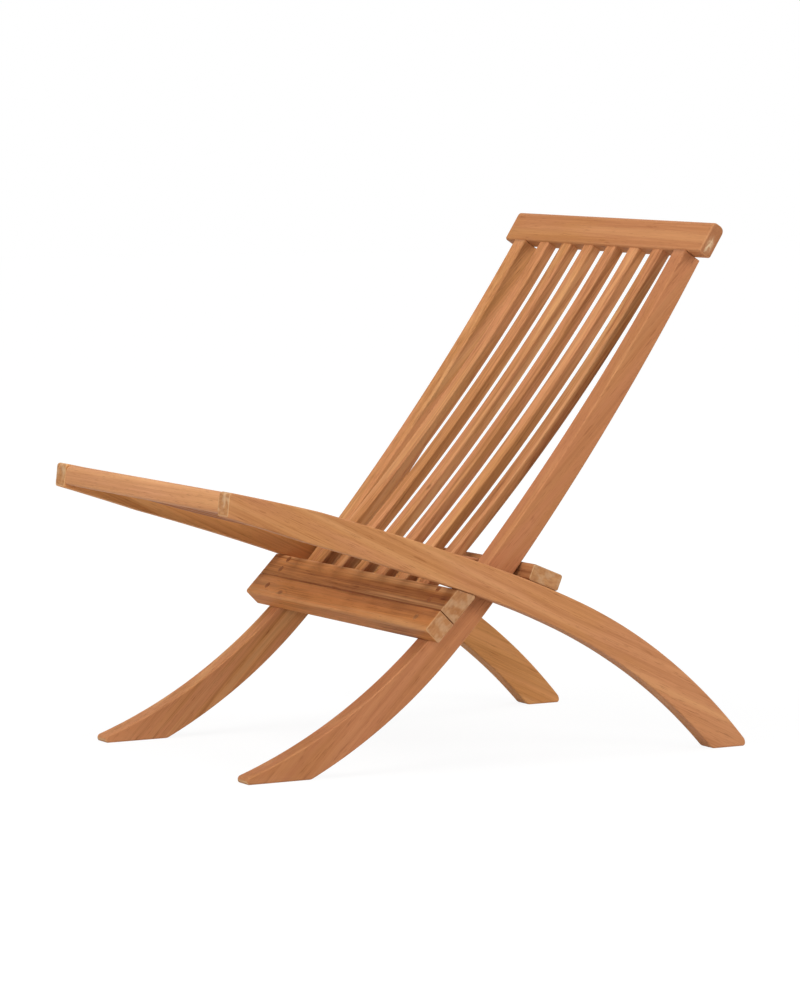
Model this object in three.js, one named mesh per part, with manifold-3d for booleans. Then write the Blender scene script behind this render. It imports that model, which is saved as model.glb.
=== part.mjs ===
// Folding teak lounge chair without arms: two curved, slatted frames that interlock and fold like scissors.
// Millimetres. +Z is up, +X runs across the chair to the sitter's left, and the sitter faces -Y.
// The origin is on the floor, under the middle of the open chair's outline.
// Both frames are drawn from the side, in the Y-Z plane, about the point where their rails cross.
import * as THREE from 'three';
import { mergeVertices } from 'three/addons/utils/BufferGeometryUtils.js';
import Module from 'manifold-3d';

const wasm = await Module();
wasm.setup();

// The whole chair
const chairWidth = 480; // over the outer faces of the seat rails
const crossingHeight = 226; // from the floor to the rails' crossing
const seatReach = 385; // from the crossing to the lower edge of the seat's front
const backReach = 505; // from the crossing to the crest rail's underside, along the back rails

// Clearances
const fitGap = 0.3; // around and between pieces that touch
const sideClearance = 4.5; // between a back rail and the seat rail outside it
const boardGap = 0.8; // the open joint between the front crossbar's two boards

// Back rails: slope in degrees at the crossing, radii of their centre line, depths seen from the side
const railThickness = 27; // across the chair, for all four rails
const backSlopeDegrees = 49.3;
const backHeadRadius = 3460;
const backKneeRadius = 1125;
const backLegRadius = 705;
const backHeadDepth = 27;
const backCrossingDepth = 39.2;
const backLegDepth = 41;

// Seat rails
const seatSlopeDegrees = 20;
const seatHeadRadius = 4560;
const seatKneeRadius = 1220;
const seatLegRadius = 740;
const seatHeadDepth = 31.5;
const seatCrossingDepth = 40.2;
const seatLegDepth = 43.6;
const seatTaperLength = 105; // the seat rails taper this far before their front ends

const seatFrontLeanDegrees = 6; // of the seat's front from plumb, its top towards the sitter
const seatFrontRadius = 9; // of its rounded top edge

const kneeLength = 110; // the gently curved stretch below the crossing
const swellLength = 230; // below the crossing, the rails reach their leg depth over this length

// Slats: one back slat between each two seat slats, at one pitch across the chair
const backSlatCount = 6;
const slatWidth = 23;
const slatThickness = 14.5;
const slatHousing = 12; // how far a slat's end goes into the piece that carries it
const backDishDegrees = 12; // how far a slat turns from end to end
const seatDishDegrees = 8;

// Crest rail
const crestSetIn = 2; // of its ends from the seat rails' outer faces
const crestHeight = 44;
const crestThickness = 20;
const crestSetBack = 1.5; // of its front face behind the back rails' fronts
const crestCornerRadius = 6;
const crestEndRounding = 4.5; // round the crest rail's two ends
const tenonHeight = 22;
const tenonThickness = 9;
const tenonShoulder = 4.5; // the rail's thickness beside the tenon, on each side

// Crossbars and the seat's front rail
const crossbarSetIn = 3; // of the crossbars' ends from the seat rails' outer faces
const frontBoardThickness = 27;
const upperBoardWidth = 47;
const lowerBoardWidth = 31.5;
const rearBarWidth = 46;
const rearBarThickness = 21.5;
const frontRailDepth = 25;
const frontRailHeight = 26;
const seatSlatDrop = 3; // the seat slats' tops lie this far under the front rail's top

// Screws under wooden plugs, and dowels
const plugRadius = 4.5;
const plugLength = 6;
const screwLength = 40;
const screwRadius = 2;
const screwHeadRadius = 3.8;
const screwHeadHeight = 2.6;
const screwPointLength = 6;
const upperPlugPlaces = [18, 35]; // down the upper board from the back rails' end of it
const rearPlugPlaces = [12, 32];
const dowelRadius = 3;
const dowelLength = 24;
const dowelSpacing = 10;

// Softened edges and the fineness of curves
const edgeRounding = 1.6;
const cornerRadius = 3.4;
const footCornerRadius = 12;
const toeHeight = 8; // the plumb nose of each foot, above the floor
const curveStep = 40;
const slatStep = 80;
const roundingSteps = 2;
const cornerSteps = 4;
const roundSides = 12;
const sharpTurnDegrees = 20;
const cornerReachShare = 0.45;
const legLimitShare = 2.4; // no leg is longer than this many crossing heights
const solveRounds = 50;
const nearestRounds = 20;

const teak = new THREE.MeshStandardMaterial({ color: 0xc68c5a, roughness: 0.6, metalness: 0 });
const teakRail = new THREE.MeshStandardMaterial({ color: 0xb97c50, roughness: 0.6, metalness: 0 });
const teakPlug = new THREE.MeshStandardMaterial({ color: 0xa96f42, roughness: 0.65, metalness: 0 });
const beechDowel = new THREE.MeshStandardMaterial({ color: 0xd9b98c, roughness: 0.7, metalness: 0 });
const brass = new THREE.MeshStandardMaterial({ color: 0xb59a5a, roughness: 0.35, metalness: 1 });

const { degToRad, lerp, smoothstep } = THREE.MathUtils;
const across = new THREE.Vector3(1, 0, 0);
const sideView = new THREE.Matrix4().set(0, 0, 1, 0, 1, 0, 0, 0, 0, 1, 0, 0, 0, 0, 0, 1);

// A rail's centre line is a chain of arcs on each side of the crossing. Places along it are lengths:
// the crossing is 0, the head end is positive and the foot end is negative. The last arc has no end.
const backRail = {
  heading: degToRad(backSlopeDegrees),
  sittingSide: 1,
  headArcs: [{ length: Infinity, radius: backHeadRadius }],
  legArcs: [{ length: kneeLength, radius: backKneeRadius }, { length: Infinity, radius: backLegRadius }],
  headLength: backReach,
  taperLength: backReach,
  depths: { head: backHeadDepth, crossing: backCrossingDepth, leg: backLegDepth },
  outerFace: chairWidth / 2 - railThickness - sideClearance,
};
const seatRail = {
  heading: Math.PI - degToRad(seatSlopeDegrees),
  sittingSide: -1,
  headArcs: [{ length: Infinity, radius: seatHeadRadius }],
  legArcs: [{ length: kneeLength, radius: seatKneeRadius }, { length: Infinity, radius: seatLegRadius }],
  headLength: seatReach,
  taperLength: seatTaperLength,
  depths: { head: seatHeadDepth, crossing: seatCrossingDepth, leg: seatLegDepth },
  outerFace: chairWidth / 2,
};

// Where a place on the centre line lies, and which ways the head and the sitter are from there
function place(rail, along) {
  const towardsHead = along >= 0 ? 1 : -1;
  const at = new THREE.Vector2();
  let heading = rail.heading + (along >= 0 ? 0 : Math.PI);
  let left = Math.abs(along);
  for (const arc of along >= 0 ? rail.headArcs : rail.legArcs) {
    const step = Math.min(left, arc.length);
    const swing = towardsHead * arc.radius;
    const next = heading + step / swing;
    at.x += swing * (Math.sin(next) - Math.sin(heading));
    at.y -= swing * (Math.cos(next) - Math.cos(heading));
    heading = next;
    left -= step;
  }
  const headward = new THREE.Vector2(Math.cos(heading), Math.sin(heading)).multiplyScalar(towardsHead);
  const sitting = new THREE.Vector2(-headward.y, headward.x).multiplyScalar(rail.sittingSide);
  return { at, headward, sitting };
}

function depthAt(rail, along) {
  const { head, crossing, leg } = rail.depths;
  const taper = Math.max(0, along - rail.headLength + rail.taperLength) / rail.taperLength;
  return lerp(crossing, head, taper) + (leg - crossing) * smoothstep(-along, 0, swellLength);
}

// A point on a rail's edge: side 1 is the sitter's side and side -1 the underside
function edge(rail, along, side) {
  const { at, sitting } = place(rail, along);
  return at.addScaledVector(sitting, (side * depthAt(rail, along)) / 2);
}

// The value between two limits where a steadily changing measure passes zero
function solve(measure, from, to) {
  const rising = measure(to) > measure(from);
  let [low, high] = [from, to];
  for (let round = 0; round < solveRounds; round += 1) {
    const middle = (low + high) / 2;
    if (measure(middle) > 0 === rising) high = middle;
    else low = middle;
  }
  return (low + high) / 2;
}

// How far a point lies outside a rail's underside
function beyondUnderside(rail, point) {
  let along = 0;
  for (let round = 0; round < nearestRounds; round += 1) {
    const { at, headward } = place(rail, along);
    along += headward.dot(point.clone().sub(at));
  }
  const { at, sitting } = place(rail, along);
  return -sitting.dot(point.clone().sub(at)) - depthAt(rail, along) / 2;
}

// Keeps the part of an outline that lies on the side the normal points to
function clip(outline, through, normal) {
  const height = (point) => normal.dot(point.clone().sub(through));
  return outline.flatMap((point, index) => {
    const next = outline[(index + 1) % outline.length];
    const [here, there] = [height(point), height(next)];
    const kept = here >= 0 ? [point] : [];
    if (here >= 0 === there >= 0) return kept;
    return [...kept, point.clone().lerp(next, here / (here - there))];
  });
}

// Rounds the sharp corners of an outline and leaves its smooth stretches as they are
function roundCorners(outline, radiusAt) {
  return outline.flatMap((corner, index) => {
    const back = outline.at(index - 1).clone().sub(corner);
    const on = outline[(index + 1) % outline.length].clone().sub(corner);
    const turn = Math.PI - back.angleTo(on);
    const radius = radiusAt(corner);
    if (radius === 0 || turn < degToRad(sharpTurnDegrees)) return [corner];
    const room = cornerReachShare * Math.min(back.length(), on.length());
    const reach = Math.min(radius * Math.tan(turn / 2), room);
    const start = corner.clone().add(back.setLength(reach));
    const centre = back.add(on.setLength(reach)).setLength(reach / Math.sin(turn / 2)).add(corner);
    const swing = Math.sign(start.clone().sub(corner).cross(on)) * turn;
    return Array.from({ length: cornerSteps + 1 }, (_, step) => (
      start.clone().rotateAround(centre, (-swing * step) / cornerSteps)
    ));
  });
}

// A side-view outline made into a solid that runs across the chair, with its long edges softened
function extrude(outline, width, centre, rounding = 0, steps = roundingSteps) {
  const geometry = new THREE.ExtrudeGeometry(new THREE.Shape(outline), {
    depth: width - 2 * rounding,
    bevelEnabled: rounding > 0,
    bevelThickness: rounding,
    bevelSize: rounding,
    bevelOffset: -rounding,
    bevelSegments: steps,
  });
  geometry.translate(0, 0, rounding - width / 2);
  return geometry.applyMatrix4(sideView).translate(centre, 0, 0);
}

// A round bar from a point, in a direction
function roundBar(radius, length, from, direction) {
  const geometry = new THREE.CylinderGeometry(radius, radius, length, roundSides);
  geometry.translate(0, length / 2, 0);
  geometry.applyQuaternion(new THREE.Quaternion().setFromUnitVectors(new THREE.Vector3(0, 1, 0), direction));
  return geometry.translate(from.x, from.y, from.z);
}

function toSolid(geometry) {
  geometry.deleteAttribute('normal');
  geometry.deleteAttribute('uv');
  const welded = mergeVertices(geometry);
  const vertProperties = welded.attributes.position.array;
  return new wasm.Manifold(new wasm.Mesh({ numProp: 3, vertProperties, triVerts: welded.index.array }));
}

// A geometry with other geometries joined to it and others cut out of it
function shape(body, { add = [], cut = [] }) {
  const joined = add.reduce((solid, piece) => solid.add(toSolid(piece)), toSolid(body));
  const finished = cut.reduce((solid, piece) => solid.subtract(toSolid(piece)), joined);
  const { vertProperties, triVerts } = finished.getMesh();
  const geometry = new THREE.BufferGeometry();
  geometry.setAttribute('position', new THREE.BufferAttribute(vertProperties, 3));
  geometry.setIndex(new THREE.BufferAttribute(triVerts, 1));
  const faceted = geometry.toNonIndexed();
  faceted.computeVertexNormals();
  return faceted;
}

// A working plane seen from the side: points are given along its direction and out from it
function frameAt(origin, along, out) {
  const point = (a, o) => origin.clone().addScaledVector(along, a).addScaledVector(out, o);
  const spot = (a, o, x) => new THREE.Vector3(x, point(a, o).x, point(a, o).y);
  const inward = new THREE.Vector3(0, -out.x, -out.y);
  return { origin, along, out, point, spot, inward };
}

// The plane of a straight bar that sits on a rail's sitting side, from one place towards the foot
function seatOn(rail, start, length) {
  const first = edge(rail, start, 1);
  const along = edge(rail, start - length, 1).sub(first).normalize();
  const outward = place(rail, start - length / 2).sitting;
  const out = outward.addScaledVector(along, -outward.dot(along)).normalize();
  const crown = out.dot(edge(rail, start - length / 2, 1).sub(first));
  return frameAt(first.addScaledVector(out, Math.max(crown, 0) + fitGap), along, out);
}

function rectangle(frame, from, to, low, high) {
  return [frame.point(from, low), frame.point(to, low), frame.point(to, high), frame.point(from, high)];
}

const crestLength = chairWidth - 2 * crestSetIn;
const crossbarLength = chairWidth - 2 * crossbarSetIn;

// Slat lanes: the gaps between back slats are where the seat slats run
const backInnerWidth = 2 * (backRail.outerFace - railThickness);
const backSlatGap = (backInnerWidth - backSlatCount * slatWidth) / (backSlatCount + 1);
const slatPitch = slatWidth + backSlatGap;
const seatSlatCount = backSlatCount + 1;
const lanes = (count) => Array.from({ length: count }, (_, index) => (index - (count - 1) / 2) * slatPitch);

// The two contacts that hold the open chair: the seat rails' undersides rest on the front crossbar,
// and the back rails' undersides lean on the rear crossbar's front corner.
const legLimit = -legLimitShare * crossingHeight;
const frontBarPlace = solve((along) => (
  beyondUnderside(seatRail, edge(backRail, along, 1)) - fitGap
), 0, legLimit);
const rearBarPlace = solve((along) => {
  const frame = seatOn(seatRail, along, rearBarWidth);
  return beyondUnderside(backRail, frame.point(0, rearBarThickness)) - fitGap;
}, 0, legLimit);

const lowerBoardStart = upperBoardWidth + boardGap;
const frontBar = seatOn(backRail, frontBarPlace, lowerBoardStart + lowerBoardWidth);
const rearBar = seatOn(seatRail, rearBarPlace, rearBarWidth);

// The seat rails' underside above the front crossbar, as a line a fit gap below it
const seatUnderside = (() => {
  const front = frontBar.point(0, frontBoardThickness);
  const along = solve((distance) => place(seatRail, distance).at.x - front.x, 0, seatReach);
  const { sitting } = place(seatRail, along);
  return { through: edge(seatRail, along, -1).addScaledVector(sitting, -fitGap), normal: sitting.negate() };
})();

// Crest rail: its underside lies square across the back rails' ends
const railEnd = place(backRail, backReach);
const crestFrame = frameAt(edge(backRail, backReach, 1), railEnd.headward, railEnd.sitting);
const crestMiddle = -crestSetBack - crestThickness / 2;

// The seat's front is one leaning plane: the seat rails end in it and the front rail is flush with it
const frontLean = degToRad(seatFrontLeanDegrees);
const rearward = new THREE.Vector2(Math.cos(frontLean), -Math.sin(frontLean));
const frontUnderPlace = solve((along) => edge(seatRail, along, -1).x + seatReach, 0, 2 * seatReach);
const seatFront = edge(seatRail, frontUnderPlace, -1);
const frontPlace = solve((along) => (
  rearward.dot(edge(seatRail, along, 1).sub(seatFront))
), 0, 2 * seatReach);
const frontMiddle = (edge(seatRail, frontPlace, 1).y + seatFront.y) / 2;
const { headward: seatHeadward, sitting: seatUp } = place(seatRail, frontPlace);
const frontRailFrame = frameAt(edge(seatRail, frontPlace, 1), seatHeadward.clone().negate(), seatUp);

// A slat is an arc between two points of its sitting surface, housed beyond each in what carries it
function slatArc(start, end, dishDegrees) {
  const chord = end.clone().sub(start);
  const halfTurn = degToRad(dishDegrees) / 2;
  const radius = chord.length() / 2 / Math.sin(halfTurn);
  const towardsSitter = new THREE.Vector2(chord.y, -chord.x).normalize();
  if (towardsSitter.y < 0) towardsSitter.negate();
  const hub = start.clone().lerp(end, 1 / 2).addScaledVector(towardsSitter, radius * Math.cos(halfTurn));
  return { hub, radius, halfTurn, away: towardsSitter.clone().negate(), chord: chord.normalize() };
}

function slatOutline(arc, grow = 0) {
  const reach = arc.halfTurn + grow / arc.radius;
  const steps = Math.ceil((2 * arc.halfTurn * arc.radius) / slatStep);
  const turns = Array.from({ length: steps + 1 }, (_, index) => lerp(-reach, reach, index / steps));
  const at = (turn, distance) => arc.hub.clone()
    .addScaledVector(arc.away, distance * Math.cos(turn))
    .addScaledVector(arc.chord, distance * Math.sin(turn));
  const top = turns.map((turn) => at(turn, arc.radius - grow));
  const bottom = turns.map((turn) => at(turn, arc.radius + slatThickness + grow));
  return [...top, ...bottom.reverse()];
}

// Back slats are centred in the thickness of the crest rail and of the front crossbar's upper board
const backSlatTop = crestFrame.point(slatHousing, crestMiddle + slatThickness / 2);
const boardSlatOut = (frontBoardThickness + slatThickness) / 2;
const boardTopHere = solve((along) => {
  const point = frontBar.point(along, boardSlatOut).sub(seatUnderside.through);
  return seatUnderside.normal.dot(point);
}, -upperBoardWidth, upperBoardWidth);
const backSlatFoot = frontBar.point(boardTopHere + slatHousing, boardSlatOut);
const backSlatArc = slatArc(backSlatTop, backSlatFoot, backDishDegrees);

// Seat slats run from the front rail's rear face to the rear crossbar's front face
const seatSlatFront = frontRailFrame.point(frontRailDepth - slatHousing, -seatSlatDrop);
const seatSlatRear = rearBar.point(slatHousing, (rearBarThickness + slatThickness) / 2);
const seatSlatArc = slatArc(seatSlatFront, seatSlatRear, seatDishDegrees);

const slatCutters = (arc, count) => lanes(count).map((lane) => (
  extrude(slatOutline(arc, fitGap), slatWidth + 2 * fitGap, lane)
));

// Screws lie square to the face they are driven into, under a plug that is flush with it
function fastener(frame, along, face, x) {
  const surface = frame.spot(along, face, x);
  const headSeat = frame.spot(along, face - plugLength - fitGap, x);
  const counterbore = plugLength + screwHeadHeight + 2 * fitGap;
  const above = surface.clone().addScaledVector(frame.inward, -plugRadius);
  return {
    direction: frame.inward,
    surface,
    headSeat,
    holes: () => [
      roundBar(plugRadius + fitGap, counterbore + plugRadius, above, frame.inward),
      roundBar(screwRadius + fitGap, screwLength + 2 * fitGap, headSeat, frame.inward),
    ],
  };
}

function screwGeometry({ headSeat, direction }) {
  const profile = [
    [0, 0],
    [screwHeadRadius, 0],
    [screwRadius, screwHeadHeight],
    [screwRadius, screwLength - screwPointLength],
    [0, screwLength],
  ].map(([radius, depth]) => new THREE.Vector2(radius, depth));
  const geometry = new THREE.LatheGeometry(profile, roundSides);
  geometry.applyQuaternion(new THREE.Quaternion().setFromUnitVectors(new THREE.Vector3(0, 1, 0), direction));
  return geometry.translate(headSeat.x, headSeat.y, headSeat.z);
}

const sides = { left: 1, right: -1 };
const middleOf = (rail, side) => side * (rail.outerFace - railThickness / 2);

// The fasteners of one side of the chair
const fastenersOf = Object.fromEntries(Object.entries(sides).map(([name, side]) => {
  const backX = middleOf(backRail, side);
  const seatX = middleOf(seatRail, side);
  return [name, {
    upper: upperPlugPlaces.map((along) => fastener(frontBar, along, frontBoardThickness, backX)),
    lower: [fastener(frontBar, lowerBoardStart + lowerBoardWidth / 2, frontBoardThickness, backX)],
    rear: rearPlugPlaces.map((along) => fastener(rearBar, along, rearBarThickness, seatX)),
  }];
}));
const holesOf = (kind) => (
  Object.values(fastenersOf).flatMap((side) => side[kind].flatMap((item) => item.holes()))
);

// Dowels between the seat's front rail and the seat rails
const seatInnerFace = seatRail.outerFace - railThickness;
const frontFacePlace = solve((along) => (
  rearward.dot(frontRailFrame.point(along, -frontRailHeight / 2).sub(seatFront))
), -frontRailHeight, frontRailDepth);
const dowelMiddle = (frontFacePlace + frontRailDepth) / 2;
const dowelPlaces = [dowelMiddle - dowelSpacing / 2, dowelMiddle + dowelSpacing / 2];
const dowelBar = (along, side, grow) => roundBar(
  dowelRadius + grow,
  dowelLength + 2 * grow,
  frontRailFrame.spot(along, -frontRailHeight / 2, side * (seatInnerFace - dowelLength / 2 - grow)),
  across.clone().multiplyScalar(side),
);

// A rail's outline between its foot and the ends of its two edges
function railOutline(rail, headPlaces) {
  const edges = [1, -1].map((side, index) => {
    const head = headPlaces[index];
    const footHeight = side > 0 ? toeHeight : 0;
    const foot = solve((along) => edge(rail, along, side).y + crossingHeight - footHeight, 0, legLimit);
    const steps = Math.ceil((head - foot) / curveStep);
    return Array.from({ length: steps + 1 }, (_, step) => edge(rail, lerp(foot, head, step / steps), side));
  });
  const toe = new THREE.Vector2(edges[0][0].x, -crossingHeight);
  return [toe, ...edges[0], ...edges[1].reverse()];
}

const backEnds = [backReach - fitGap, backReach - fitGap];
const seatEnds = [frontPlace, frontUnderPlace];
const seatFrontCorners = ({ y }) => (y > frontMiddle ? seatFrontRadius : cornerRadius);
const railCorners = (headCorners) => (corner) => (
  corner.y < -crossingHeight / 2 ? footCornerRadius : headCorners(corner)
);
const backRailOutline = roundCorners(railOutline(backRail, backEnds), railCorners(() => 0));
const seatRailOutline = roundCorners(railOutline(seatRail, seatEnds), railCorners(seatFrontCorners));

function backRailGeometry(side, fasteners) {
  const x = middleOf(backRail, side);
  const low = crestMiddle - tenonThickness / 2;
  const tenonOutline = rectangle(crestFrame, -tenonHeight, tenonHeight, low, low + tenonThickness);
  const tenon = extrude(tenonOutline, railThickness - 2 * tenonShoulder, x);
  const cut = [...fasteners.upper, ...fasteners.lower].flatMap((item) => item.holes());
  return shape(extrude(backRailOutline, railThickness, x, edgeRounding), { add: [tenon], cut });
}

function seatRailGeometry(side, fasteners) {
  const body = extrude(seatRailOutline, railThickness, middleOf(seatRail, side), edgeRounding);
  const dowelHoles = dowelPlaces.map((along) => dowelBar(along, side, fitGap));
  return shape(body, { cut: [...fasteners.rear.flatMap((item) => item.holes()), ...dowelHoles] });
}

function crestGeometry() {
  const outline = rectangle(crestFrame, 0, crestHeight, -crestSetBack - crestThickness, -crestSetBack);
  const low = crestMiddle - tenonThickness / 2 - fitGap;
  const high = low + tenonThickness + 2 * fitGap;
  const socket = rectangle(crestFrame, -tenonHeight, tenonHeight + fitGap, low, high);
  const socketWidth = railThickness - 2 * tenonShoulder + 2 * fitGap;
  const sockets = Object.values(sides).map((side) => extrude(socket, socketWidth, middleOf(backRail, side)));
  const section = roundCorners(outline, () => crestCornerRadius);
  const body = extrude(section, crestLength, 0, crestEndRounding, 2 * roundingSteps);
  return shape(body, { cut: [...sockets, ...slatCutters(backSlatArc, backSlatCount)] });
}

// The front crossbar's boards are rounded at their outer corners and sharp at the joint between them
function boardCorners(corner) {
  const along = frontBar.along.dot(corner.clone().sub(frontBar.origin));
  return along < upperBoardWidth - cornerRadius || along > lowerBoardStart + cornerRadius ? cornerRadius : 0;
}

function upperBoardGeometry() {
  const tall = rectangle(frontBar, -frontBoardThickness, upperBoardWidth, 0, frontBoardThickness);
  const outline = clip(tall, seatUnderside.through, seatUnderside.normal);
  const body = extrude(roundCorners(outline, boardCorners), crossbarLength, 0, edgeRounding);
  return shape(body, { cut: [...holesOf('upper'), ...slatCutters(backSlatArc, backSlatCount)] });
}

function lowerBoardGeometry() {
  const lowerEnd = lowerBoardStart + lowerBoardWidth;
  const outline = rectangle(frontBar, lowerBoardStart, lowerEnd, 0, frontBoardThickness);
  const body = extrude(roundCorners(outline, boardCorners), crossbarLength, 0, edgeRounding);
  return shape(body, { cut: holesOf('lower') });
}

function rearBarGeometry() {
  const outline = rectangle(rearBar, 0, rearBarWidth, 0, rearBarThickness);
  const body = extrude(roundCorners(outline, () => cornerRadius), crossbarLength, 0, edgeRounding);
  return shape(body, { cut: [...holesOf('rear'), ...slatCutters(seatSlatArc, seatSlatCount)] });
}

function frontRailGeometry() {
  const long = rectangle(frontRailFrame, -frontRailHeight, frontRailDepth, -frontRailHeight, 0);
  const outline = roundCorners(clip(long, seatFront, rearward), (corner) => (
    corner.x < seatFront.x + frontRailDepth / 2 ? seatFrontCorners(corner) : cornerRadius
  ));
  const body = extrude(outline, 2 * (seatInnerFace - fitGap), 0, edgeRounding);
  const dowelHoles = Object.values(sides).flatMap((side) => (
    dowelPlaces.map((along) => dowelBar(along, side, fitGap))
  ));
  return shape(body, { cut: [...dowelHoles, ...slatCutters(seatSlatArc, seatSlatCount)] });
}

const backFrame = new THREE.Group();
const seatFrame = new THREE.Group();

function add(frame, name, geometry, material) {
  const mesh = new THREE.Mesh(geometry, material);
  mesh.name = name;
  frame.add(mesh);
}

function addFasteners(frame, name, items) {
  items.forEach((item, index) => {
    const plug = roundBar(plugRadius, plugLength, item.surface, item.direction);
    add(frame, `${name}_plug_${index + 1}`, plug, teakPlug);
    add(frame, `${name}_screw_${index + 1}`, screwGeometry(item), brass);
  });
}

for (const [name, side] of Object.entries(sides)) {
  const fasteners = fastenersOf[name];
  add(backFrame, `back_rail_${name}`, backRailGeometry(side, fasteners), teakRail);
  add(seatFrame, `seat_rail_${name}`, seatRailGeometry(side, fasteners), teakRail);
  addFasteners(backFrame, `crossbar_${name}`, [...fasteners.upper, ...fasteners.lower]);
  addFasteners(seatFrame, `rear_${name}`, fasteners.rear);
  dowelPlaces.forEach((along, index) => {
    add(seatFrame, `front_dowel_${name}_${index + 1}`, dowelBar(along, side, 0), beechDowel);
  });
}

add(backFrame, 'crest_rail', crestGeometry(), teak);
add(backFrame, 'front_crossbar_upper', upperBoardGeometry(), teak);
add(backFrame, 'front_crossbar_lower', lowerBoardGeometry(), teak);
add(seatFrame, 'seat_front_rail', frontRailGeometry(), teak);
add(seatFrame, 'rear_crossbar', rearBarGeometry(), teak);
lanes(backSlatCount).forEach((lane, index) => {
  const geometry = extrude(slatOutline(backSlatArc), slatWidth, lane, edgeRounding);
  add(backFrame, `back_slat_${index + 1}`, geometry, teak);
});
lanes(seatSlatCount).forEach((lane, index) => {
  const geometry = extrude(slatOutline(seatSlatArc), slatWidth, lane, edgeRounding);
  add(seatFrame, `seat_slat_${index + 1}`, geometry, teak);
});

// The crossing stands above the floor, and the open chair's outline is centred front to back
const reaches = seatRailOutline.map((point) => point.x);
const crossing = new THREE.Vector3(0, -(Math.min(...reaches) + Math.max(...reaches)) / 2, crossingHeight);
const group = new THREE.Group();
group.add(backFrame, seatFrame);
group.children.forEach((frame) => frame.position.copy(crossing));

export default group;
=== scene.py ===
"""Folding teak lounge chair without arms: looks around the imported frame.

Sizes are in millimetres, as in the part's own source, and become metres where a mesh is made.
Side views are drawn in the plane across the chair: (y, z) about the point where the rails cross.
"""

import bpy
import math
from mathutils import Matrix, Vector


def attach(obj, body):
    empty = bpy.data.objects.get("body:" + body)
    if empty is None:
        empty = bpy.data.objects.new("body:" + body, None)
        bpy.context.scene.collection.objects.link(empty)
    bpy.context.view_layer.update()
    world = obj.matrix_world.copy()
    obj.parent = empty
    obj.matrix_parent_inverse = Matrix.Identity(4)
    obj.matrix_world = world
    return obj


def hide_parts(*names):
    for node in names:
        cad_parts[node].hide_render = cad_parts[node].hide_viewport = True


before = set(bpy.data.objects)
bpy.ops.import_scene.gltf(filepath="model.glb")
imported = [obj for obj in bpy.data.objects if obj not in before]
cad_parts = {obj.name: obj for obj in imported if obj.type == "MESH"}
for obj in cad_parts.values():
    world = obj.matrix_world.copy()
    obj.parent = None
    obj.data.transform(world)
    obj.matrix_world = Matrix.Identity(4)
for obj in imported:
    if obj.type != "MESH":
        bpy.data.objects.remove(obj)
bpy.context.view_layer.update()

METRES = 0.001  # one millimetre

# The whole chair
CHAIR_WIDTH = 480.0
CROSSING_HEIGHT = 226.0
SEAT_REACH = 385.0
BACK_REACH = 505.0
FIT_GAP = 0.3
SIDE_CLEARANCE = 4.5
BOARD_GAP = 0.8
RAIL_THICKNESS = 27.0
KNEE_LENGTH = 110.0
SWELL_LENGTH = 230.0

# Slats
BACK_SLAT_COUNT = 6
SLAT_WIDTH = 23.0
SLAT_THICKNESS = 14.5
SLAT_HOUSING = 12.0
BACK_DISH = math.radians(12)
SEAT_DISH = math.radians(8)

# Cross members
CREST_END_INSET = 2.0
CREST_LENGTH = CHAIR_WIDTH - 2 * CREST_END_INSET
CREST_HEIGHT = 44.0
CREST_THICKNESS = 20.0
CREST_SET_BACK = 1.5
CREST_LOWER_CORNER = 3.6
CREST_FRONT_CORNER = 6.0
CREST_BACK_CORNER = 8.0
CREST_END_ROUNDING = 3.6
CROSSBAR_END_INSET = 3.0
CROSSBAR_LENGTH = CHAIR_WIDTH - 2 * CROSSBAR_END_INSET
BOARD_THICKNESS = 27.0
UPPER_BOARD_WIDTH = 47.0
LOWER_BOARD_WIDTH = 31.5
REAR_BAR_WIDTH = 46.0
REAR_BAR_THICKNESS = 21.5
FRONT_RAIL_DEPTH = 25.0
FRONT_RAIL_HEIGHT = 26.0
SEAT_SLAT_DROP = 3.0
SEAT_FRONT_LEAN = math.radians(6)
SEAT_FRONT_RADIUS = 9.0

# Plugs over the screws
PLUG_RADIUS = 4.5
PLUG_LENGTH = 6.0
PLUG_PROUD = 0.15
UPPER_PLUG_PLACES = (18.0, 35.0)
REAR_PLUG_PLACES = (12.0, 32.0)

# Softened edges and fineness
EDGE_ROUNDING = 2.2
EDGE_STEPS = 5
CORNER_RADIUS = 3.4
FOOT_CORNER_RADIUS = 12.0
TOE_HEIGHT = 8.0
CURVE_STEP = 10.0
CORNER_STEPS = 8
CORNER_REACH_SHARE = 0.45
SHARP_TURN = math.radians(20)
SHARPEST_MITRE = 0.5
SHORTEST_SIDE = 1e-6
CURVE_BEND = 0.01  # radians a millimetre
CORNER_BEND = 0.15
FLAT_FACE_WEIGHT = 100
SLAT_ARC_POINTS = 49
PLUG_SIDES = 32
PLUG_RINGS = 5
SOLVE_ROUNDS = 50
NEAREST_ROUNDS = 20

# Farther down a leg than its foot
FOOT_LIMIT = -2.4 * CROSSING_HEIGHT

# The rails: arcs are lengths and radii from the crossing, depths are at the head, the crossing and the leg
BACK_RAIL = {
    "heading": math.radians(49.3),
    "sitting_side": 1,
    "head_arcs": ((math.inf, 3460.0),),
    "leg_arcs": ((KNEE_LENGTH, 1125.0), (math.inf, 705.0)),
    "head_length": BACK_REACH,
    "taper_length": BACK_REACH,
    "depths": (27.0, 39.2, 41.0),
    "outer_face": CHAIR_WIDTH / 2 - RAIL_THICKNESS - SIDE_CLEARANCE,
}
SEAT_RAIL = {
    "heading": math.pi - math.radians(20),
    "sitting_side": -1,
    "head_arcs": ((math.inf, 4560.0),),
    "leg_arcs": ((KNEE_LENGTH, 1220.0), (math.inf, 740.0)),
    "head_length": SEAT_REACH,
    "taper_length": 105.0,
    "depths": (31.5, 40.2, 43.6),
    "outer_face": CHAIR_WIDTH / 2,
}


# Side-view drawing

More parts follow.
